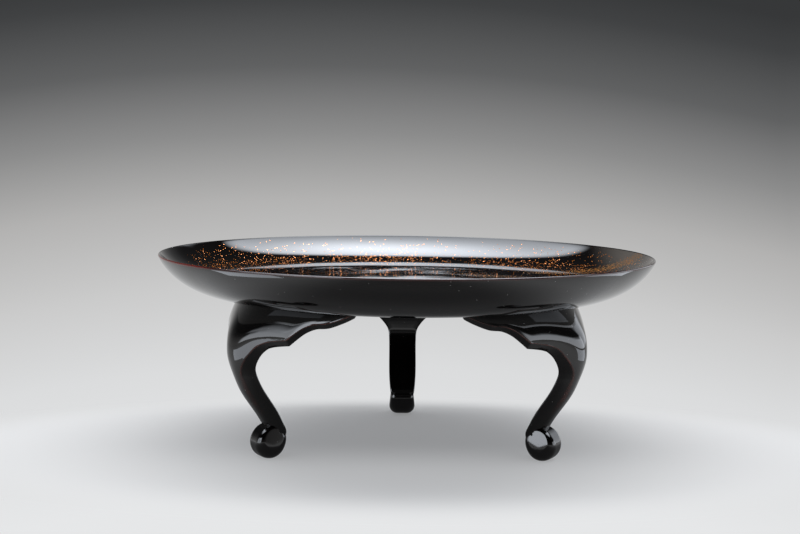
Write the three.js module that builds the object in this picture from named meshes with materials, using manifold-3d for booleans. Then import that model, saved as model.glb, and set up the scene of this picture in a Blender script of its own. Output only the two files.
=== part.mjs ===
// A lacquer offering stand: a shallow turned dish on three carved cabriole legs.
// Millimetres, +Z up. The origin is on the ground under the middle of the dish, and one leg
// points along +Y. Each leg is drawn in cylindrical terms about the dish's axis: rho is the
// distance from that axis, arc a length along the circumference from the leg's own middle.
import * as THREE from 'three';
import { mergeVertices } from 'three/addons/utils/BufferGeometryUtils.js';
import Module from 'manifold-3d';

const wasm = await Module();
wasm.setup();

// Driving dimensions of the dish
const rimRadius = 151.5;
const rimHeight = 117.5;
const lipWidth = 1.3;
const lipDrop = 0.8;
const outerDepth = 26.9;
const outerShoulder = { power: 7.5, root: 0.82 };
const innerDepth = 19.3;
const innerShoulder = { power: 8.5, root: 0.93 };
const flatRadius = 80;
const dishSegments = 72;
const profileSteps = 13;

// Driving dimensions of a leg
const legAngles = { leg_left_front: 210, leg_right_front: 330, leg_back: 90 };
const jointGap = 0.3;
const foot = { rho: 94.5, radius: 9.2, halfWidth: 8.3, flat: 0.25, rise: 0.2, riseAngle: 120, lean: 0.13 };
const footEdge = { soft: 6, crisp: 1.5, crispAngle: 100, crispSpread: 1.3, start: 1 / 3, end: 5 / 6 };

// Driving dimensions of the pegs that hold a leg to the dish
const pegRadius = 1.5;
const pegRho = 102.3;
const pegSpreadAngle = 6;
const pegBottom = 86;
const pegTop = 95.5;

// Lines of a leg, each a list of [height, rho or size] from the top down: the knee's crown, how
// far it stands out from the wings and how wide it spreads, the inner face, how much lower that
// lies, its rounded corners, and the half widths of the stem's outer and inner faces
const crownLine = [[98, 101], [86, 110], [76, 117], [70, 119], [64, 119.5], [58, 118.5], [46, 114],
  [40, 111], [22, 98.5], [15, 95], [10, 94]];
const bulgeLine = [[98, 1.5], [86, 4.5], [76, 7.5], [70, 8.5], [64, 9], [10, 9]];
const spreadLine = [[98, 36], [86, 28], [76, 21], [68, 16.5], [60, 15.5], [10, 15.5]];
const innerLine = [[98, 93], [86, 99.5], [76, 104], [66, 106.5], [60, 107], [55, 107], [50, 105.5],
  [43, 102], [28, 92], [21.5, 88.5], [15, 85.5], [10, 86.5]];
const slantLine = [[98, 2], [84, 3.5], [74, 4], [64, 1.5], [52, 0], [10, 0]];
const cornerLine = [[98, 1], [60, 2], [22, 2.5], [14, 3], [10, 4.5]];
const outerHalfLine = [[51, 5.5], [10, 5]];
const innerHalfLine = [[72, 30], [66, 19], [60, 13], [56, 10.5], [51, 10], [22, 9.5], [14, 9],
  [10, 7.5]];

// Lower edge of the leg's outer face as [arc, height]: the wing from its tip to the cusp,
// then the arch from the cusp to the stem
const wingEdge = [[76.5, 92], [71, 89], [63, 86], [55, 85], [49, 82.5], [44, 78.5], [40, 75]];
const archEdge = [[40, 75], [33, 74], [26, 72.5], [19, 69.5], [13.5, 64], [9.5, 59], [7, 55], [5.5, 51]];
const wingTop = { arc: 77, height: 98 };
const stemHeights = [48, 44, 40, 36, 32, 28, 25, 22, 19, 16, 13, 10];

const radians = THREE.MathUtils.degToRad;

// Smooth value at a height on a line: cubic between knots, with the knots' mean slopes
function valueAt(line, height) {
  const last = line.length - 1;
  if (height >= line[0][0]) return line[0][1];
  if (height <= line[last][0]) return line[last][1];
  const slope = (i, j) => (line[j][1] - line[i][1]) / (line[j][0] - line[i][0]);
  const k = line.findIndex((knot, i) => i < last && height <= knot[0] && height >= line[i + 1][0]);
  const span = line[k + 1][0] - line[k][0];
  const middle = slope(k, k + 1);
  const before = k > 0 ? slope(k - 1, k) : middle;
  const after = k + 1 < last ? slope(k + 1, k + 2) : middle;
  const startSlope = before * middle > 0 ? (before + middle) / 2 : 0;
  const endSlope = after * middle > 0 ? (after + middle) / 2 : 0;
  const u = (height - line[k][0]) / span;
  const h = [2 * u ** 3 - 3 * u ** 2 + 1, u ** 3 - 2 * u ** 2 + u, 3 * u ** 2 - 2 * u ** 3, u ** 3 - u ** 2];
  return h[0] * line[k][1] + h[1] * span * startSlope + h[2] * line[k + 1][1] + h[3] * span * endSlope;
}

// A closed mesh as a solid, with the facets that a pole flattens left out
function solidOf(geometry) {
  const bare = geometry.clone();
  bare.deleteAttribute('normal');
  bare.deleteAttribute('uv');
  const merged = mergeVertices(bare, 1e-4);
  const index = merged.index.array;
  const kept = [];
  for (let i = 0; i < index.length; i += 3) {
    const [a, b, c] = [index[i], index[i + 1], index[i + 2]];
    if (a !== b && b !== c && c !== a) kept.push(a, b, c);
  }
  const mesh = new wasm.Mesh({
    numProp: 3,
    vertProperties: new Float32Array(merged.attributes.position.array),
    triVerts: new Uint32Array(kept),
  });
  return new wasm.Manifold(mesh);
}

function geometryOf(solid) {
  const { vertProperties, triVerts } = solid.getMesh();
  const geometry = new THREE.BufferGeometry();
  geometry.setAttribute('position', new THREE.BufferAttribute(new Float32Array(vertProperties), 3));
  geometry.setIndex(new THREE.BufferAttribute(new Uint32Array(triVerts), 1));
  geometry.computeVertexNormals();
  return geometry;
}

// Height of the dish's underside and of its inside at a radius
function underside(radius) {
  const fall = (1 - (radius / rimRadius) ** outerShoulder.power) ** outerShoulder.root;
  return rimHeight - lipDrop - outerDepth * fall;
}

function inside(radius) {
  const reach = rimRadius - lipWidth;
  const fall = (1 - (radius / reach) ** innerShoulder.power) ** innerShoulder.root;
  return rimHeight - lipDrop / 2 - innerDepth * fall;
}

// Radii from a rim inwards to the flat middle, closer together near the rim
function profileRadii(edge) {
  const start = Math.asin(flatRadius / edge);
  const radii = [];
  for (let i = 0; i <= profileSteps; i += 1) {
    const turn = Math.PI / 2 + ((start - Math.PI / 2) * i) / profileSteps;
    radii.push(i === 0 ? edge : edge * Math.sin(turn));
  }
  return radii;
}

function latheAboutZ(points) {
  const geometry = new THREE.LatheGeometry(points, dishSegments);
  geometry.rotateX(Math.PI / 2);
  return geometry;
}

function dishProfile() {
  const outer = profileRadii(rimRadius).map((r) => new THREE.Vector2(r, underside(r)));
  const floor = profileRadii(rimRadius - lipWidth).map((r) => new THREE.Vector2(r, inside(r)));
  const lipTop = new THREE.Vector2(rimRadius - lipWidth / 2, rimHeight);
  return [
    new THREE.Vector2(0, outer.at(-1).y),
    ...outer.reverse(),
    lipTop,
    ...floor,
    new THREE.Vector2(0, floor.at(-1).y),
  ];
}

// The space above the dish's underside, which the leg tops are cut to
function undersideBlank() {
  const outer = profileRadii(rimRadius).map((r) => new THREE.Vector2(r, underside(r) - jointGap));
  const ceiling = rimHeight + 10;
  return latheAboutZ([
    new THREE.Vector2(0, outer.at(-1).y),
    ...outer.reverse(),
    new THREE.Vector2(rimRadius, ceiling),
    new THREE.Vector2(0, ceiling),
  ]);
}

// A closed band of points round the leg at one level: the outer face from one edge to the
// other, and the inner face with its rounded corners, paired so that they cap as a ladder
const outerColumns = [1, 0.96, 0.9, 0.72, 0.5, 0.25, 0];
const cornerTurns = [0, 45, 90].map(radians);
const innerColumns = [0.66, 0.33, 0.15, 0];

function legSection(height, half) {
  const wing = valueAt(crownLine, height) - valueAt(bulgeLine, height);
  const bulge = valueAt(bulgeLine, height);
  const innerHeight = height - valueAt(slantLine, height);
  const inner = valueAt(innerLine, innerHeight);
  const corner = valueAt(cornerLine, height);
  const spread = valueAt(spreadLine, height);
  const innerHalf = Math.max((half * inner) / wing, valueAt(innerHalfLine, innerHeight));
  const point = (rho, arc, z) => {
    const turn = arc / rho;
    return new THREE.Vector3(rho * Math.cos(turn), rho * Math.sin(turn), z);
  };
  const outerSide = outerColumns.map((share) => {
    const arc = half * share;
    return point(wing + bulge * Math.exp(-((arc / spread) ** 2)), arc, height);
  });
  const slope = valueAt(slantLine, height) / (wing - inner);
  const innerSide = cornerTurns.map((turn) => {
    const rho = inner + corner * (1 - Math.sin(turn));
    return point(rho, innerHalf - corner * (1 - Math.cos(turn)), innerHeight + (rho - inner) * slope);
  });
  const flatHalf = innerHalf - corner;
  innerColumns.forEach((share) => innerSide.push(point(inner, flatHalf * share, innerHeight)));
  const mirrored = (p) => new THREE.Vector3(p.x, -p.y, p.z);
  return {
    outer: [...outerSide, ...outerSide.slice(0, -1).reverse().map(mirrored)],
    inner: [...innerSide, ...innerSide.slice(0, -1).reverse().map(mirrored)],
  };
}

// The leg's levels from the top of the wings to the middle of the foot
function legSections() {
  const edgePoints = (knots, steps) => {
    const curve = new THREE.SplineCurve(knots.map(([arc, height]) => new THREE.Vector2(arc, height)));
    return curve.getPoints(steps);
  };
  const sections = [legSection(wingTop.height, wingTop.arc)];
  edgePoints(wingEdge, 11).forEach((p) => sections.push(legSection(p.y, p.x)));
  edgePoints(archEdge, 11).slice(1).forEach((p) => sections.push(legSection(p.y, p.x)));
  stemHeights.forEach((height) => sections.push(legSection(height, valueAt(outerHalfLine, height))));
  return sections;
}

function loft(sections) {
  const positions = [];
  const index = [];
  const across = sections[0].outer.length;
  const around = across * 2;
  sections.forEach(({ outer, inner }) => {
    [...outer, ...inner.slice().reverse()].forEach((p) => positions.push(p.x, p.y, p.z));
  });
  for (let s = 0; s + 1 < sections.length; s += 1) {
    for (let i = 0; i < around; i += 1) {
      const a = s * around + i;
      const b = s * around + ((i + 1) % around);
      index.push(a, b, a + around, b, b + around, a + around);
    }
  }
  const cap = (start, facingUp) => {
    for (let i = 0; i + 1 < across; i += 1) {
      const [a, b] = [start + i, start + i + 1];
      const [c, d] = [start + around - 2 - i, start + around - 1 - i];
      if (facingUp) index.push(a, d, b, b, d, c);
      else index.push(a, b, d, b, c, d);
    }
  };
  cap(0, true);
  cap((sections.length - 1) * around, false);
  const geometry = new THREE.BufferGeometry();
  geometry.setAttribute('position', new THREE.BufferAttribute(new Float32Array(positions), 3));
  geometry.setIndex(index);
  return geometry;
}

// The scroll that a leg ends in: a ball on a tangential axis, reshaped to a roundel whose two flat
// sides turn over a rounded edge into its rim. The edge is crisp above and soft below, the upper
// inner side is drawn out into the stem, the sides lean in as they rise, and the roundel sinks by
// the depth of the small flat that it stands on.
function footRoundel() {
  const geometry = new THREE.SphereGeometry(1, 32, 12);
  const spots = geometry.attributes.position;
  const { soft, crisp, crispAngle, crispSpread, start, end } = footEdge;
  const { clamp } = THREE.MathUtils;
  for (let i = 0; i < spots.count; i += 1) {
    const [x, y, z] = [spots.getX(i), spots.getY(i), spots.getZ(i)];
    const turn = Math.atan2(z, x);
    const share = 0.5 + 0.5 * Math.cos(turn - radians(crispAngle));
    const edge = soft + (crisp - soft) * share ** crispSpread;
    const way = Math.atan2(Math.hypot(x, z), Math.abs(y)) / (Math.PI / 2);
    const over = (clamp((way - start) / (end - start), 0, 1) * Math.PI) / 2;
    const climb = 1 + foot.rise * Math.max(0, Math.cos(turn - radians(foot.riseAngle))) ** 2;
    const reach = climb * ((foot.radius - edge) * clamp(way / start, 0, 1) + edge * Math.sin(over));
    const rise = reach * Math.sin(turn);
    const halfWidth = foot.halfWidth * (1 - (foot.lean * rise) / foot.radius);
    const side = (halfWidth - edge) * clamp((1 - way) / (1 - end), 0, 1) + edge * Math.cos(over);
    const height = foot.radius - foot.flat + rise;
    spots.setXYZ(i, foot.rho + reach * Math.cos(turn), Math.sign(y) * side, height);
  }
  return geometry;
}

function pegHole(angle) {
  const radius = pegRadius + jointGap;
  const hole = new THREE.CylinderGeometry(radius, radius, pegTop - pegBottom + 2 * jointGap, 16);
  hole.rotateX(Math.PI / 2);
  const turn = radians(angle);
  hole.translate(pegRho * Math.cos(turn), pegRho * Math.sin(turn), (pegTop + pegBottom) / 2);
  return solidOf(hole);
}

function legSolid() {
  const ground = new THREE.BoxGeometry(60, 60, 20);
  ground.translate(foot.rho, 0, -10);
  return solidOf(loft(legSections()))
    .add(solidOf(footRoundel()))
    .subtract(solidOf(ground))
    .subtract(solidOf(undersideBlank()))
    .subtract(pegHole(pegSpreadAngle))
    .subtract(pegHole(-pegSpreadAngle));
}

const lacquer = () => new THREE.MeshStandardMaterial({ color: 0x0b0908, roughness: 0.08, metalness: 0 });
const bamboo = () => new THREE.MeshStandardMaterial({ color: 0xb9935a, roughness: 0.6, metalness: 0 });

function part(name, geometry, material) {
  const mesh = new THREE.Mesh(geometry, material);
  mesh.name = name;
  return mesh;
}

const group = new THREE.Group();

let dish = solidOf(latheAboutZ(dishProfile()));
Object.values(legAngles).forEach((angle) => {
  dish = dish.subtract(pegHole(angle - pegSpreadAngle)).subtract(pegHole(angle + pegSpreadAngle));
});
group.add(part('dish', geometryOf(dish), lacquer()));

const legGeometry = geometryOf(legSolid());
Object.entries(legAngles).forEach(([name, angle]) => {
  const leg = part(name, legGeometry.clone(), lacquer());
  leg.rotation.z = radians(angle);
  group.add(leg);
  [-1, 1].forEach((side) => {
    const peg = new THREE.CylinderGeometry(pegRadius, pegRadius, pegTop - pegBottom, 16);
    peg.rotateX(Math.PI / 2);
    const mesh = part(`${name.replace('leg', 'peg')}_${side < 0 ? 'a' : 'b'}`, peg, bamboo());
    const turn = radians(angle + side * pegSpreadAngle);
    mesh.position.set(pegRho * Math.cos(turn), pegRho * Math.sin(turn), (pegTop + pegBottom) / 2);
    group.add(mesh);
  });
});

export default group;
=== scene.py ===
from math import asin, atan2, cos, exp, pi, radians, sin

import bmesh
import bpy
from mathutils import Matrix, Vector


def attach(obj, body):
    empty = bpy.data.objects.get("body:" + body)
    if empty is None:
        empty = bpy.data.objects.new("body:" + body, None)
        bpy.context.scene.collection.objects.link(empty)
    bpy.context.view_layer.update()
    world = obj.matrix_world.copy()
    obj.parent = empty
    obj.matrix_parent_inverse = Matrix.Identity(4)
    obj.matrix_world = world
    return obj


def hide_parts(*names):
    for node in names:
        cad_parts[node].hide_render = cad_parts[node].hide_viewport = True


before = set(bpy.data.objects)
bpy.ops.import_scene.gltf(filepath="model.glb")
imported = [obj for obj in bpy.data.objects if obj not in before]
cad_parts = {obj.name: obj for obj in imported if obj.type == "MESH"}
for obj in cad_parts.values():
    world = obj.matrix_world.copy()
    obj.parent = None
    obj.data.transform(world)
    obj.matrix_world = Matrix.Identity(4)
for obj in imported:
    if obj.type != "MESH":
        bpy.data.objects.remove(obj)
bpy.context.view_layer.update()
mm = 0.001


# the dish's profile is two flattened bowls, one inside the other, that meet at a thin lip
dishLook = {
    "rimRadius": 151.5, "rimHeight": 117.5, "lipWidth": 1.3, "lipDrop": 0.8,
    "outerDepth": 26.9, "outerPower": 7.5, "outerRoot": 0.82,
    "innerDepth": 19.3, "innerPower": 8.5, "innerRoot": 0.93,
    "flatRadius": 80, "floorRings": (0.75, 0.5, 0.25, 0), "rings": 44, "ringSpacing": 0.9, "lipSteps": 8,
    "turnSteps": 224,
}

# lines of a leg as [height, distance from the dish's axis or size], from the top down
legLook = {
    "crown": [[98, 101], [86, 110], [76, 117], [70, 119], [64, 119.5], [58, 118.5], [46, 114], [40, 111],
              [22, 98.5], [15, 95], [10, 94]],
    "bulge": [[98, 1.5], [86, 4.5], [76, 7.5], [70, 8.5], [64, 9], [10, 9]],
    "inner": [[98, 93], [86, 99.5], [76, 104], [66, 106.5], [60, 107], [55, 107], [50, 105.5], [43, 102],
              [28, 92], [21.5, 88.5], [15, 85.5], [10, 86.5]],
    "slant": [[98, 2], [84, 3.5], [74, 4], [64, 1.5], [52, 0], [10, 0]],
    "spread": [[98, 36], [86, 28], [76, 21], [68, 16.5], [60, 15.5], [10, 15.5]],
    "outerHalf": [[51, 5.5], [10, 5]],
    "innerHalf": [[72, 30], [66, 19], [60, 13], [56, 10.5], [51, 10], [22, 9.5], [14, 8.5], [10, 7.5]],
    "arris": [[98, 0.5], [60, 0.5], [38, 2], [10, 2.5]],
    "corner": [[98, 1], [60, 2], [22, 2.5], [14, 3], [10, 4.5]],
    "wingEdge": [[76.5, 92], [71, 89], [63, 86], [55, 85], [49, 82.5], [44, 78.5], [40, 75]],
    "archEdge": [[40, 75], [33, 74], [26, 72.5], [19, 69.5], [13.5, 64], [9.5, 59], [7, 55], [5.5, 51]],
    "sideBow": 0.4, "bowTop": 62, "bowRise": 14,
    "seat": 0.1,  # how deep the top sits in the dish
    # the outer face rolls in along its lower edge, less so down the stem
    "roll": 0.55, "rollWidth": 4.6, "rollFrom": 36, "rollFull": 56,
    # wear on the arris: the height it starts at, the rise it grows over, its share at each point round
    "wearFrom": 24, "wearRise": 30, "wear": (0.3, 0.7, 1, 1, 1, 0.7, 0.3),
    # where the points of a section lie, as shares of the outer face, the side and the inner face
    "outerShares": (0, 0.12, 0.24, 0.36, 0.48, 0.6, 0.7, 0.78, 0.84, 0.88, 0.91, 0.94, 0.96, 0.98),
    "sideShares": (0.06, 0.15, 0.35, 0.5, 0.65, 0.85), "innerShares": (0.75, 0.5, 0.25, 0),
    "wingSteps": 6, "archSteps": 7, "stemLevels": 44, "arrisSteps": 6, "cornerSteps": 6, "sharpAngle": 40,
    "angles": {"leg_left_front": 210, "leg_right_front": 330, "leg_back": 90},
}

# the scroll under a leg: a roundel with flat sides, its edge crisp above and soft below
footLook = {
    "rho": 94.5, "radius": 9.2, "flat": 0.25, "halfWidth": 8.3, "rise": 0.2, "riseAngle": 120, "lean": 0.13,
    "soft": 6, "crisp": 1.5, "crispAngle": 100, "crispSpread": 1.3, "start": 0.3, "end": 0.85, "dome": 0.8,
    "around": 112, "across": 48,
}

cameraLook = {
    "distance": 924.5, "height": 196.7, "aside": -4.09, "pitch": 5.409, "roll": 0.777, "yaw": 0.91,
    "focalPixels": 1505.4, "picturePixels": 800, "sensor": 36,
}


def underside(radius):
    d = dishLook
    fall = max(0, 1 - (radius / d["rimRadius"]) ** d["outerPower"]) ** d["outerRoot"]
    return d["rimHeight"] - d["lipDrop"] - d["outerDepth"] * fall


def inside(radius):
    d = dishLook
    reach = d["rimRadius"] - d["lipWidth"]
    fall = max(0, 1 - (radius / reach) ** d["innerPower"]) ** d["innerRoot"]
    return d["rimHeight"] - d["lipDrop"] / 2 - d["innerDepth"] * fall


def valueAt(line, height):
    # cubic between the knots of a line, level where the line turns
    last = len(line) - 1
    if height >= line[0][0]:
        return line[0][1]
    if height <= line[last][0]:
        return line[last][1]
    k = next(i for i in range(last) if line[i + 1][0] <= height <= line[i][0])

    def slope(i):
        return (line[i + 1][1] - line[i][1]) / (line[i + 1][0] - line[i][0])

    middle = slope(k)
    before = slope(k - 1) if k > 0 else middle
    after = slope(k + 1) if k + 1 < last else middle
    startSlope = (before + middle) / 2 if before * middle > 0 else 0
    endSlope = (after + middle) / 2 if after * middle > 0 else 0
    span = line[k + 1][0] - line[k][0]
    u = (height - line[k][0]) / span
    return ((2 * u ** 3 - 3 * u ** 2 + 1) * line[k][1] + (u ** 3 - 2 * u ** 2 + u) * span * startSlope
            + (3 * u ** 2 - 2 * u ** 3) * line[k + 1][1] + (u ** 3 - u ** 2) * span * endSlope)


def splinePoints(knots, steps):
    # points along a smooth curve through the knots
    points = []
    for i in range(len(knots) - 1):
        a, b = Vector(knots[i]), Vector(knots[i + 1])
        before = Vector(knots[i - 1]) if i > 0 else a * 2 - b
        after = Vector(knots[i + 2]) if i + 2 < len(knots) else b * 2 - a
        for s in range(steps):
            t = s / steps
            points.append(0.5 * (2 * a + (b - before) * t + (2 * before - 5 * a + 4 * b - after) * t ** 2
                                 + (3 * a - before - 3 * b + after) * t ** 3))
    points.append(Vector(knots[-1]))
    return points


def addObject(name, content):
    piece = bpy.data.objects.new(name, content)
    bpy.context.scene.collection.objects.link(piece)
    return piece


def finishMesh(name, bm):
    mesh = bpy.data.meshes.new(name)
    bm.to_mesh(mesh)
    bm.free()
    mesh.shade_smooth()
    return addObject(name, mesh)


def makeDish():
    d = dishLook

    def radii(edge):
        # rings from an edge inwards to the flat, closest together near the edge
        start = asin(d["flatRadius"] / edge)
        shares = [(i / d["rings"]) ** d["ringSpacing"] for i in range(d["rings"] + 1)]
        return [edge * sin(pi / 2 + (start - pi / 2) * share) for share in shares]

    outer = [(r, underside(r)) for r in radii(d["rimRadius"])]
    inner = [(r, inside(r)) for r in radii(d["rimRadius"] - d["lipWidth"])]
    lip = []
    for i in range(1, d["lipSteps"]):
        turn = pi * i / d["lipSteps"]
        drop = d["lipDrop"] * (1 - i / d["lipSteps"] / 2) * (1 - sin(turn))
        lip.append((d["rimRadius"] - d["lipWidth"] / 2 * (1 - cos(turn)), d["rimHeight"] - drop))
    floorRings = [d["flatRadius"] * share for share in d["floorRings"]]
    profile = ([(r, outer[-1][1]) for r in reversed(floorRings)] + outer[::-1] + lip + inner
               + [(r, inner[-1][1]) for r in floorRings])
    bm = bmesh.new()
    verts = [bm.verts.new((r * mm, 0, z * mm)) for r, z in profile]
    edges = [bm.edges.new(pair) for pair in zip(verts, verts[1:])]
    bmesh.ops.spin(bm, geom=verts + edges, axis=(0, 0, 1), cent=(0, 0, 0), angle=2 * pi,
                   steps=d["turnSteps"], use_merge=True)
    bmesh.ops.remove_doubles(bm, verts=bm.verts, dist=1e-6)
    bmesh.ops.recalc_face_normals(bm, faces=bm.faces)
    return finishMesh("dish_fine", bm)


def lineAt(name, height):
    # a line's value, averaged a little up and down so that reflections run smoothly over the knots
    steps = (-2, -1, 0, 1, 2)
    return sum(valueAt(legLook[name], height + step) for step in steps) / len(steps)


def curveBetween(start, control, end, steps):
    shares = [i / steps for i in range(steps + 1)]
    return [start * (1 - t) ** 2 + control * 2 * t * (1 - t) + end * t ** 2 for t in shares]


def rollAt(levels, arc, height):
    # how far the outer face rolls in at a place, by its distance from the leg's edge
    leg = legLook
    away = min((arc - half) ** 2 + (height - level) ** 2 for level, half in levels) ** 0.5
    share = min(1, max(0, (height - leg["rollFrom"]) / (leg["rollFull"] - leg["rollFrom"])))
    return leg["roll"] * share * max(0, 1 - away / leg["rollWidth"]) ** 2


def halfSection(height, half, levels):
    # from the middle of the outer face, round the arris, the side and the inner corner, to the inner middle,
    # each point with its share of wear
    leg = legLook
    bulge, spread = lineAt("bulge", height), lineAt("spread", height)
    wing = lineAt("crown", height) - bulge
    innerHeight = height - lineAt("slant", height)
    inner = lineAt("inner", innerHeight)
    innerHalf = max(half * inner / wing, lineAt("innerHalf", innerHeight))
    arris, corner = lineAt("arris", height), lineAt("corner", height)

    def spot(rho, arc, z):
        return Vector((rho * cos(arc / rho), rho * sin(arc / rho), z))

    def outerAt(arc):
        rho = wing + bulge * exp(-(arc / spread) ** 2) - rollAt(levels, arc, height)
        return spot(rho, arc, height)

    edge, heel = outerAt(half), spot(inner, innerHalf, innerHeight)
    along = (heel - edge).normalized()
    bow = leg["sideBow"] * min(1, max(0, (leg["bowTop"] - height) / leg["bowRise"]))
    points = [outerAt((half - arris) * share) for share in leg["outerShares"]]
    worn = [0] * len(points)
    points += curveBetween(outerAt(half - arris), edge, edge + along * arris, leg["arrisSteps"])
    amount = min(1, max(0, (height - leg["wearFrom"]) / leg["wearRise"]))
    worn += [amount * share for share in leg["wear"]]
    start, end = points[-1], heel - along * corner
    for share in leg["sideShares"]:
        points.append(start.lerp(end, share) + Vector((0, 4 * bow * share * (1 - share), 0)))
    points += curveBetween(end, heel, spot(inner, innerHalf - corner, innerHeight), leg["cornerSteps"])
    points += [spot(inner, (innerHalf - corner) * share, innerHeight) for share in leg["innerShares"]]
    return points, worn + [0] * (len(points) - len(worn))


def fullSection(height, half, levels, isTop):
    right, worn = halfSection(height, half, levels)
    points = right + [Vector((p.x, -p.y, p.z)) for p in reversed(right[1:-1])]
    for p in points:
        top = underside(Vector((p.x, p.y)).length) + legLook["seat"]
        p.z = top if isTop else min(p.z, top)
    return points, worn + worn[-2:0:-1]


def makeLeg():
    leg = legLook
    levels = [(p.y, p.x) for p in splinePoints(leg["wingEdge"], leg["wingSteps"])]
    levels += [(p.y, p.x) for p in splinePoints(leg["archEdge"], leg["archSteps"])[1:]]
    stemTop, stemEnd = leg["archEdge"][-1][1], footLook["radius"] - footLook["flat"]
    for i in range(1, leg["stemLevels"] + 1):
        height = stemTop + (stemEnd - stemTop) * i / leg["stemLevels"]
        levels.append((height, lineAt("outerHalf", height)))
    sections = [fullSection(height, half, levels, k == 0) for k, (height, half) in enumerate(levels)]
    around, down = len(sections[0][0]), len(levels)
    bm = bmesh.new()
    wear = bm.verts.layers.float.new("worn")
    bmesh.ops.create_grid(bm, x_segments=around, y_segments=down - 1, size=1)
    for v in bm.verts:
        i = round((v.co.x + 1) / 2 * around) % around
        points, worn = sections[round((v.co.y + 1) / 2 * (down - 1))]
        v.co, v[wear] = points[i] * mm, worn[i]
    bmesh.ops.remove_doubles(bm, verts=bm.verts, dist=1e-7)
    ends = [e for e in bm.edges if e.is_boundary]
    bmesh.ops.holes_fill(bm, edges=ends, sides=0)
    bmesh.ops.recalc_face_normals(bm, faces=bm.faces)
    stem = finishMesh("leg_stem", bm)
    roundel = makeRoundel()
    union = stem.modifiers.new("scroll", "BOOLEAN")
    union.operation, union.object, union.solver = "UNION", roundel, "EXACT"
    mesh = bpy.data.meshes.new_from_object(stem.evaluated_get(bpy.context.evaluated_depsgraph_get()))
    for spare in (stem, roundel):
        bpy.data.objects.remove(spare)
    return mesh


def makeRoundel():
    f = footLook
    bm = bmesh.new()
    bmesh.ops.create_uvsphere(bm, u_segments=f["around"], v_segments=f["across"], radius=1)
    for v in bm.verts:
        turn = atan2(v.co.y, v.co.x)
        share = 0.5 + 0.5 * cos(turn - radians(f["crispAngle"]))
        edge = f["soft"] + (f["crisp"] - f["soft"]) * share ** f["crispSpread"]
        way = atan2(Vector((v.co.x, v.co.y)).length, abs(v.co.z)) / (pi / 2)
        over = min(1, max(0, (way - f["start"]) / (f["end"] - f["start"]))) * pi / 2
        reach = (f["radius"] - edge) * min(1, way / f["start"]) + edge * sin(over)
        reach *= 1 + f["rise"] * max(0, cos(turn - radians(f["riseAngle"]))) ** 2
        rise = reach * sin(turn)
        halfWidth = f["halfWidth"] * (1 - f["lean"] * rise / f["radius"])
        side = (halfWidth - edge) * min(1, (1 - way) / (1 - f["end"])) + edge * cos(over)
        side -= f["dome"] * way * way * min(1, side / f["dome"])
        side *= 1 if v.co.z > 0 else -1
        v.co = Vector((f["rho"] + reach * cos(turn), side, max(f["radius"] - f["flat"] + rise, 0))) * mm
    bmesh.ops.recalc_face_normals(bm, faces=bm.faces)
    return finishMesh("roundel", bm)


class Socket:
    # a shader socket or number that takes plain arithmetic
    def __init__(self, paint, value):
        self.paint, self.value = paint, value

    def _math(self, kind, *inputs):
        return self.paint.node("ShaderNodeMath", {"operation": kind}, inputs)

    def __add__(self, other):
        return self._math("ADD", self, other)

    def __radd__(self, other):
        return self._math("ADD", other, self)

    def __sub__(self, other):
        return self._math("SUBTRACT", self, other)

    def __rsub__(self, other):
        return self._math("SUBTRACT", other, self)

    def __mul__(self, other):
        return self._math("MULTIPLY", self, other)

    def __rmul__(self, other):
        return self._math("MULTIPLY", other, self)

    def __truediv__(self, other):
        return self._math("DIVIDE", self, other)

    def __rtruediv__(self, other):
        return self._math("DIVIDE", other, self)

    def __pow__(self, other):
        return self._math("POWER", self, other)

    def __rpow__(self, other):
        return self._math("POWER", other, self)

    def above(self, edge):
        return self._math("GREATER_THAN", self, edge)

    def below(self, edge):
        return self._math("LESS_THAN", self, edge)

    def largest(self, other):
        return self._math("MAXIMUM", self, other)

    def root(self):
        return self._math("SQRT", self)

    def turnOf(self, other):
        # the angle in degrees of the direction (other, self), from 0 up to 360
        return self._math("MODULO", self._math("ARCTAN2", self, other) * (180 / pi) + 360, 360)

    def turnUp(self):
        return self._math("ARCSINE", self) * (180 / pi)


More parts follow.
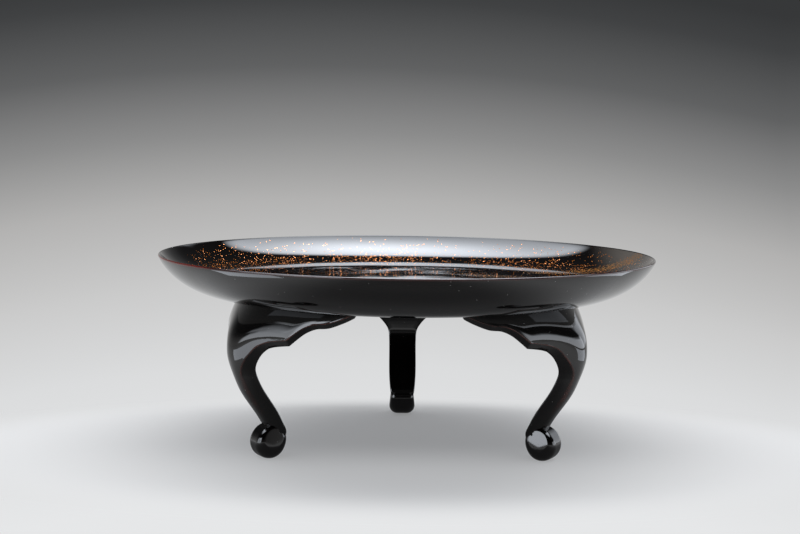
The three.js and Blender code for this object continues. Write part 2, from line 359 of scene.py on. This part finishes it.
class Paint:
    # a material, or the world, with the few helpers that its recipe uses
    def __init__(self, name, library=bpy.data.materials):
        self.material = library.new(name)
        self.material.use_nodes = True
        self.tree = self.material.node_tree
        self.tree.nodes.clear()

    def node(self, kind, settings=None, inputs=None, output=0):
        made = self.tree.nodes.new(kind)
        for key, value in (settings or {}).items():
            if key == "stops":
                while len(made.color_ramp.elements) < len(value):
                    made.color_ramp.elements.new(0.5)
                for element, (place, colour) in zip(made.color_ramp.elements, value):
                    element.position, element.color = place, colour
            else:
                setattr(made, key, value)
        pairs = inputs.items() if isinstance(inputs, dict) else enumerate(inputs or [])
        for key, value in pairs:
            if isinstance(value, Socket):
                self.tree.links.new(value.value, made.inputs[key])
            else:
                made.inputs[key].default_value = value
        return Socket(self, made.outputs[output])

    def place(self, scale=(1, 1, 1), kind="Object"):
        spot = self.node("ShaderNodeTexCoord", output=kind)
        return self.node("ShaderNodeMapping", {}, {"Vector": spot, "Scale": scale})

    def split(self, vector):
        parts = self.node("ShaderNodeSeparateXYZ", {}, [vector]).value.node
        return [Socket(self, parts.outputs[i]) for i in range(3)]

    def noise(self, place, scale, detail=3):
        return self.node("ShaderNodeTexNoise", {}, {"Vector": place, "Scale": scale, "Detail": detail})

    def cells(self, place, scale):
        # distance to the nearest seed of a cell, and the cell's own random numbers
        made = self.node("ShaderNodeTexVoronoi", {}, {"Vector": place, "Scale": scale}).value.node
        return Socket(self, made.outputs["Distance"]), Socket(self, made.outputs["Color"])

    def ramp(self, value, low, high):
        return self.node("ShaderNodeMapRange", {"interpolation_type": "SMOOTHSTEP"},
                         {"Value": value, "From Min": low, "From Max": high})

    def band(self, value, low, high, soft):
        return self.ramp(value, low - soft, low + soft) * self.ramp(value, high + soft, high - soft)

    def blend(self, factor, first, second):
        return self.node("ShaderNodeMix", {"data_type": "RGBA"}, {0: factor, 6: first, 7: second}, output=2)

    def vector(self, kind, *inputs):
        return self.node("ShaderNodeVectorMath", {"operation": kind}, inputs)

    def scaled(self, colour, factor):
        return self.node("ShaderNodeVectorMath", {"operation": "SCALE"}, {0: colour, 3: factor})

    def rays(self):
        made = self.node("ShaderNodeLightPath").value.node
        kinds = ("Camera", "Glossy", "Transmission")
        return [Socket(self, made.outputs[f"Is {kind} Ray"]) for kind in kinds]

    def finish(self, **inputs):
        named = {key.replace("_", " "): value for key, value in inputs.items()}
        self.close(self.node("ShaderNodeBsdfPrincipled", {}, named))
        return self.material

    def close(self, shader, kind="ShaderNodeOutputMaterial"):
        out = self.tree.nodes.new(kind)
        self.tree.links.new(shader.value, out.inputs["Surface"])


def atLeast(least, mask):
    # a mask from 0 to 1 that is lifted to run from its least value to 1
    return least + (1 - least) * mask


lacquerLook = {
    "black": (0.0016, 0.0008, 0.0008, 1), "roughness": 0.045, "ior": 1.56,
    # slow unevenness of the surface, and how much more of it the dish's floor has, from its edge inwards
    "wave": 0.00012, "waveScale": 24, "floorWave": 2, "floorEdge": (116, 104),
    "dust": (0.36, 0.35, 0.34, 1), "dustCell": 3.8, "dustSize": 0.19, "dustShare": 0.5, "dustRough": 0.5,
    # wear on the legs' edges, from the height at which it shows, in patches
    "worn": (0.10, 0.035, 0.028, 1), "wornRough": 0.12, "wornFrom": (24, 34),
    "patchScale": 60, "patchEdges": (0.35, 0.65), "patchLeast": 0.35,
    # the red line on the rim: how far below the top, how wide, and where along x it grows stronger
    "rimRed": (0.16, 0.012, 0.007, 1), "rimBelow": (1.5, 0.9), "rimWidth": 0.45, "rimLeast": 0.2,
    "rimFrom": (-0.105, -0.12),
}


def lacquerBase(p, place, swell=1):
    # dust specks and the slow unevenness of hand-laid lacquer
    look = lacquerLook
    distance, chance = p.cells(place, 1 / (look["dustCell"] * mm))
    size = look["dustSize"] / look["dustCell"]
    dust = distance.below(size) * p.split(chance)[0].below(look["dustShare"])
    height = p.noise(place, look["waveScale"], 1) * swell
    wave = p.node("ShaderNodeBump", {}, {"Height": height, "Distance": look["wave"], "Strength": 1})
    return dust, wave


def lacquerPaint():
    p, look = Paint("black lacquer"), lacquerLook
    place = p.place()
    dust, wave = lacquerBase(p, place)
    worn = p.node("ShaderNodeAttribute", {"attribute_name": "worn"}, output="Fac")
    worn = worn * p.ramp(p.split(place)[2] / mm, *look["wornFrom"])
    patches = p.ramp(p.noise(place, look["patchScale"]), *look["patchEdges"])
    colour = p.blend(worn * atLeast(look["patchLeast"], patches), look["black"], look["worn"])
    colour = p.blend(dust, colour, look["dust"])
    rough = look["roughness"] + dust * look["dustRough"] + worn * look["wornRough"]
    return p.finish(Base_Color=colour, Roughness=rough, IOR=look["ior"], Normal=wave)


goldLook = {
    "flake": (0.90, 0.27, 0.03, 1), "cell": 1.25, "size": 0.27, "tilt": 0.5,
    "powder": (0.52, 0.24, 0.065, 1), "grain": 0.7, "grainSize": 0.45,
    "metal": 0.4, "metalRough": 0.12, "dustRough": 0.4,
    "facing": 0.03,  # how far a face has to turn up to be gilded
    # share of the cells that hold a flake, and the radii: low on the wall, up to the rim, on the floor
    "wallShare": 0.95, "wallFoot": (114, 122), "wallTop": (138, 130),
    "rimShare": 0.28, "rimBand": (132, 147, 3), "floorShare": 0.12, "floorEdge": (112, 100),
    # the flakes reach further in at the dish's sides, by x squared, and stop at its left end
    "sideReach": 12, "sideFrom": (0.006, 0.012), "leftEnd": (-0.145, -0.132),
    "cloudScale": 26, "cloudEdges": (0.3, 0.6), "cloudLeast": 0.35,
    # drifting bands of gold powder: centre x and y, half length, half width, turn
    "bands": [(30, -34, 62, 12, 8), (-22, -12, 70, 9, -4), (-60, 34, 40, 8, 12), (58, 62, 36, 8, -30)],
    "bandShare": 0.5, "bandFade": 1.5,
    # a drift of it that climbs the wall on the right: radius, climb, half width, softness
    "drift": (166, -0.7, 5, 4), "driftFrom": (0.07, 0.1), "streakScale": 0.55, "streakStretch": 30,
    "streakLeast": 0.35, "streakGain": 1.1,
    # a pale painted sheen, a painted reflection of glare on the right wall near the rim, growing with x,
    # with rougher lacquer under it
    "paintedSheen": (0.34, 0.31, 0.28, 1), "paintedSheenShare": 0.35, "paintedSheenRough": 0.3, "paintedSheenFrom": (0.122, 0.146),
}


def goldBands(p, x, y):
    total = None
    for middleX, middleY, length, width, turn in goldLook["bands"]:
        c, s = cos(radians(turn)), sin(radians(turn))
        along = ((x - middleX * mm) * c + (y - middleY * mm) * s) / (length * mm)
        across = ((y - middleY * mm) * c - (x - middleX * mm) * s) / (width * mm)
        shape = p.ramp(along * along + across * across, goldLook["bandFade"], 0)
        total = shape if total is None else total.largest(shape)
    return total


def goldDrift(p, x, y, radius):
    gold = goldLook
    start, climb, width, soft = gold["drift"]
    across = radius - start - y / mm * climb
    stretched = p.node("ShaderNodeCombineXYZ", {}, [across, y * gold["streakStretch"], 0])
    streaks = gold["streakLeast"] + gold["streakGain"] * p.noise(stretched, gold["streakScale"], 2)
    return p.band(across, -width, width, soft) * p.ramp(x, *gold["driftFrom"]) * streaks


def dishPaint():
    p, d, look, gold = Paint("dish lacquer"), dishLook, lacquerLook, goldLook
    place = p.place()
    x, y, z = p.split(place)
    radius = (x * x + y * y).root() / mm
    dust, wave = lacquerBase(p, place, 1 + look["floorWave"] * p.ramp(radius, *look["floorEdge"]))
    facing = p.node("ShaderNodeNewGeometry", output="Normal")
    isInside = p.split(facing)[2].above(gold["facing"]) * radius.below(d["rimRadius"] - d["lipWidth"])
    distance, chance = p.cells(place, 1 / (gold["cell"] * mm))
    reach = radius + gold["sideReach"] * p.ramp(x * x, *gold["sideFrom"])
    wall = p.ramp(reach, *gold["wallFoot"]) * p.ramp(radius, *gold["wallTop"])
    share = (gold["floorShare"] * p.ramp(radius, *gold["floorEdge"]) + gold["wallShare"] * wall
             + gold["rimShare"] * p.band(radius, *gold["rimBand"]))
    share = share * p.ramp(x, *gold["leftEnd"])
    clouds = p.ramp(p.noise(place, gold["cloudScale"], 2), *gold["cloudEdges"])
    share = share * atLeast(gold["cloudLeast"], clouds)
    flake = p.split(chance)[0].below(share) * distance.below(gold["size"]) * isInside
    grainDistance, grainChance = p.cells(place, 1 / (gold["grain"] * mm))
    gilding = (goldBands(p, x, y) * gold["bandShare"]).largest(goldDrift(p, x, y, radius))
    powder = p.split(grainChance)[1].below(gilding) * grainDistance.below(gold["grainSize"]) * isInside
    # painted sheen: a pale colour laid on the right wall where the glare would be mirrored
    paintedSheen = p.ramp(x, *gold["paintedSheenFrom"]) * gold["paintedSheenShare"] * isInside * (1 - powder)
    metal = flake.largest(powder)
    low, high = [d["rimHeight"] - below for below in look["rimBelow"]]
    rim = p.ramp(z / mm, low, high) * radius.above(d["rimRadius"] - look["rimWidth"])
    rim = rim * atLeast(look["rimLeast"], p.ramp(x, *look["rimFrom"]))
    colour = p.blend(rim, look["black"], look["rimRed"])
    colour = p.blend(paintedSheen, colour, gold["paintedSheen"])
    colour = p.blend(powder, colour, gold["powder"])
    colour = p.blend(flake, colour, gold["flake"])
    colour = p.blend(dust * (1 - metal), colour, look["dust"])
    # each flake lies a little out of true
    lean = p.scaled(p.vector("SUBTRACT", chance, (0.5, 0.5, 0.5)), flake * gold["tilt"])
    normal = p.vector("NORMALIZE", p.vector("ADD", wave, lean))
    rough = look["roughness"] + metal * gold["metalRough"] + dust * gold["dustRough"]
    rough = rough + paintedSheen * gold["paintedSheenRough"]
    return p.finish(Base_Color=colour, Metallic=metal * gold["metal"], Roughness=rough, IOR=look["ior"],
                    Normal=normal)


# the studio: greys from the near floor up to the top of the backdrop, by the slope at which they lie
# from a point in front of the stand, and what the lacquer mirrors
studioLook = {
    "from": 0.9245, "height": 0.1967, "low": -0.30, "high": 0.13, "floorRadius": 60,
    # slope, grey and how cool the grey is
    "greys": [(-0.251, 231, 0.012), (-0.161, 220, 0.01), (-0.104, 203, 0), (-0.05, 178, -0.01),
              (-0.006, 140, 0), (0.038, 97, 0.015), (0.082, 66, 0.035), (0.104, 56, 0.04)],
    # the backdrop is darker to its sides, like a place higher up
    "sideFall": 0.41, "sideMiddle": 0.025, "sideMost": 0.08,
    # light kept in the shadow: in its middle, more towards the front, and all of it further out
    "shadowFill": 0.3, "frontFill": 0.2, "frontReach": 0.09, "fillOut": (0.14, 0.2), "fillOval": 0.36,
    "fillBack": 0.3, "roundFrom": 0.25, "level": 0.93,
    # in reflections the floor carries painted shade under the stand, and the backdrop is darker on the
    # camera's side
    "underDark": 0.3, "underEdge": (0.08, 0.19), "underOval": 0.13, "frontDark": 0.25,
    "frontEdge": (-0.75, -0.4), "horizon": 0.072, "steep": 0.43,
    "worldLight": (0.342, 0.3528, 0.3816, 1), "glow": (0.93, 0.98, 1.06),
    "lamp": {"place": (0, 0.15, 1), "aim": (0, 0.1, 0), "size": (1.5, 0.9), "power": 12,
             "colour": (1, 0.995, 0.98)},
    # the overhead bank, by slope from the zenith: a rounded oblong with a brighter core, dimmer at its left
    "bankSide": 1.12, "bankMiddle": 0.1, "bankHalf": 0.69, "bankSoft": (1.75, 0.4), "bankLight": 5.5,
    "leftEdge": (-1.25, -0.6), "leftLeast": 0.3,
    "coreLight": 9, "coreAside": 0.08, "coreBack": 0.26, "coreSize": 0.38,
    # side panels as azimuth from and to, elevation from and to, softness, light
    "panels": [(190, 208, -20, 20, 2.5, 3.1), (184, 208, 19, 24, 2.5, 1.6), (208, 240, -20, 24, 3, 6.2),
               (335, 390, -20, 16, 2.5, 2.8), (28, 58, -20, 25, 4, 1.3)],
    # cards near the legs, which only reflections see: centre, width, height, facing, light
    "cards": [((-0.197, -0.114), 0.115, 0.052, 211, 3.2), ((0.290, -0.030), 0.150, 0.060, 0, 2.8)],
}


def grey(level):
    # the light that a grey of 0 to 255 on the screen stands for
    share = level / 255
    return share / 12.92 if share <= 0.04045 else ((share + 0.055) / 1.055) ** 2.4


def greyBySlope(p, slope):
    s = studioLook
    span = s["high"] - s["low"]
    stops = []
    for place, level, cool in s["greys"]:
        light = grey(level)
        stops.append(((place - s["low"]) / span, (light * (1 - cool), light, light * (1 + cool), 1)))
    return p.node("ShaderNodeValToRGB", {"stops": stops}, [(slope - s["low"]) / span])


def sideFall(across):
    s = studioLook
    aside = across + s["sideMiddle"]
    return (aside * aside * -1).largest(-s["sideMost"]) * -s["sideFall"]


def floorPaint():
    p, s = Paint("studio floor"), studioLook
    x, y = p.split(p.place())[:2]
    reach = (x * x + y * y).root()
    depth = y + (reach - y) * p.ramp(reach, s["roundFrom"], 1) + s["from"]
    slope = s["height"] / depth
    isCamera, isGlossy, isThrough = p.rays()
    # painted shade: what the lacquer mirrors of the floor is made darker under the stand
    under = (x * x + y * y * s["underOval"]).root()
    dim = atLeast(s["underDark"], p.ramp(under, *s["underEdge"]))
    mirrored = p.scaled(greyBySlope(p, slope.largest(s["horizon"]) * -1), dim)
    colour = p.blend(isGlossy, greyBySlope(p, sideFall(x / depth) - slope), mirrored)
    lit = p.node("ShaderNodeBsdfDiffuse", {}, {"Color": p.scaled(colour, 1 / s["level"])})
    seen = p.node("ShaderNodeEmission", {}, {"Color": colour, "Strength": 1})
    # painted light: the floor's grey as emission lifts the shadow near the stand, in an oval reaching
    # further to the front; further out the floor is its plain grey
    away = (x * x * s["fillOval"] + y * y).root() + y.largest(0) * s["fillBack"]
    near = s["shadowFill"] + s["frontFill"] * p.ramp(y * -1, 0, s["frontReach"])
    fill = atLeast(near, p.ramp(away, *s["fillOut"]))
    fill = fill * isCamera.largest(isGlossy).largest(isThrough)
    p.close(p.node("ShaderNodeMixShader", {}, [fill, lit, seen]))
    return p.material


def makeWorld():
    p, s = Paint("studio", bpy.data.worlds), studioLook
    x, y, z = p.split(p.place(kind="Generated"))
    tiny = 0.0001  # what is divided by stays above this
    flat = (x * x + y * y).root().largest(tiny)
    high = z.largest(tiny)
    across, back = x / high, y / high
    aside, behind = across - s["coreAside"], back - s["coreBack"]
    core = 2.718 ** ((aside * aside + behind * behind) * (-1 / s["coreSize"] ** 2))  # a bell curve
    shape = (across / s["bankSide"]) ** 4 + ((back - s["bankMiddle"]) / s["bankHalf"]) ** 4
    shine = p.ramp(shape, *s["bankSoft"]) * (s["bankLight"] + core * s["coreLight"]) * z.above(0)
    shine = shine * atLeast(s["leftLeast"], p.ramp(across, *s["leftEdge"]))
    azimuth, elevation = y.turnOf(x), z.turnUp()
    for start, end, bottom, top, soft, light in s["panels"]:
        turned = azimuth if end <= 360 else azimuth + 360 * azimuth.below(180)
        shine = shine + p.band(turned, start, end, soft) * p.band(elevation, bottom, top, soft) * light
    dim = atLeast(s["frontDark"], p.ramp(y / flat, *s["frontEdge"]))
    backdrop = p.scaled(greyBySlope(p, z / flat * s["steep"] - s["horizon"]), dim)
    mirrored = p.vector("ADD", backdrop, p.scaled(s["glow"], shine))
    isCamera, isGlossy, isThrough = p.rays()
    colour = p.blend(isGlossy, s["worldLight"], mirrored)
    colour = p.blend(isCamera.largest(isThrough), colour, greyBySlope(p, z / flat + sideFall(x / flat)))
    p.close(p.node("ShaderNodeBackground", {}, {"Color": colour, "Strength": 1}), "ShaderNodeOutputWorld")
    bpy.context.scene.world = p.material


def cardPaint(name, light):
    p = Paint(name)
    glow = p.node("ShaderNodeEmission", {}, {"Color": (*studioLook["glow"], 1), "Strength": light})
    p.close(glow)
    return p.material


def makeStage():
    bm = bmesh.new()
    bmesh.ops.create_circle(bm, cap_ends=True, segments=96, radius=studioLook["floorRadius"])
    floor = finishMesh("studio_floor", bm)
    floor.data.materials.append(floorPaint())
    for k, (middle, width, height, facing, light) in enumerate(studioLook["cards"]):
        bm = bmesh.new()
        bmesh.ops.create_grid(bm, x_segments=1, y_segments=1, size=0.5)
        bmesh.ops.scale(bm, verts=bm.verts, vec=(width, height, 1))
        bmesh.ops.rotate(bm, verts=bm.verts, matrix=Matrix.Rotation(pi / 2, 3, "X"))
        bmesh.ops.rotate(bm, verts=bm.verts, matrix=Matrix.Rotation(radians(facing + 90), 3, "Z"))
        bmesh.ops.translate(bm, verts=bm.verts, vec=(*middle, height / 2))
        card = finishMesh(f"studio_card_{k + 1}", bm)
        card.data.materials.append(cardPaint(card.name, light))
        card.visible_camera = card.visible_diffuse = card.visible_shadow = False
        card.visible_transmission = False


def makeLamp():
    look = studioLook["lamp"]
    lamp = bpy.data.lights.new("top softbox", "AREA")
    lamp.shape = "RECTANGLE"
    lamp.size, lamp.size_y = look["size"]
    lamp.energy, lamp.color = look["power"], look["colour"]
    piece = addObject("top softbox", lamp)
    piece.location = look["place"]
    piece.rotation_euler = (Vector(look["aim"]) - piece.location).to_track_quat("-Z", "Y").to_euler()
    piece.visible_glossy = False


def makeCamera():
    c = cameraLook
    camera = bpy.data.cameras.new("camera")
    camera.sensor_width = c["sensor"]
    camera.lens = c["focalPixels"] / c["picturePixels"] * c["sensor"]
    piece = addObject("camera", camera)
    yaw = Matrix.Rotation(radians(-c["yaw"]), 4, "Z")
    tilt = Matrix.Rotation(radians(90 - c["pitch"]), 4, "X") @ Matrix.Rotation(radians(c["roll"]), 4, "Z")
    spot = Matrix.Translation(Vector((c["aside"], -c["distance"], c["height"])) * mm)
    piece.matrix_world = yaw @ spot @ tilt
    bpy.context.scene.camera = piece


bambooLook = {
    "dark": (0.5, 0.33, 0.13, 1), "light": (0.62, 0.45, 0.2, 1), "roughness": 0.6,
    "grainScale": 900, "grainRun": (1, 1, 0.1),
}


def bambooPaint(name):
    p, look = Paint("bamboo " + name), bambooLook
    grain = p.noise(p.place(look["grainRun"]), look["grainScale"])
    return p.finish(Base_Color=p.blend(grain, look["dark"], look["light"]), Roughness=look["roughness"])


print("stage")
makeCamera()
makeStage()
makeWorld()
makeLamp()
bpy.context.scene.view_settings.view_transform = "Standard"

print("dish")
dish = makeDish()
dish.data.materials.append(dishPaint())
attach(dish, "root")
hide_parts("dish")

print("legs")
legMesh = makeLeg()
legLacquer = lacquerPaint()
for name, angle in legLook["angles"].items():
    mesh = legMesh.copy()
    mesh.transform(Matrix.Rotation(radians(angle), 4, "Z"))
    mesh.shade_smooth()
    mesh.set_sharp_from_angle(angle=radians(legLook["sharpAngle"]))
    mesh.materials.clear()
    mesh.materials.append(legLacquer)
    leg = addObject(name + "_fine", mesh)
    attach(leg, "root")
    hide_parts(name)

print("pegs")
for name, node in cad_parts.items():
    if name.startswith("peg"):
        node.data.materials.clear()
        node.data.materials.append(bambooPaint(name))
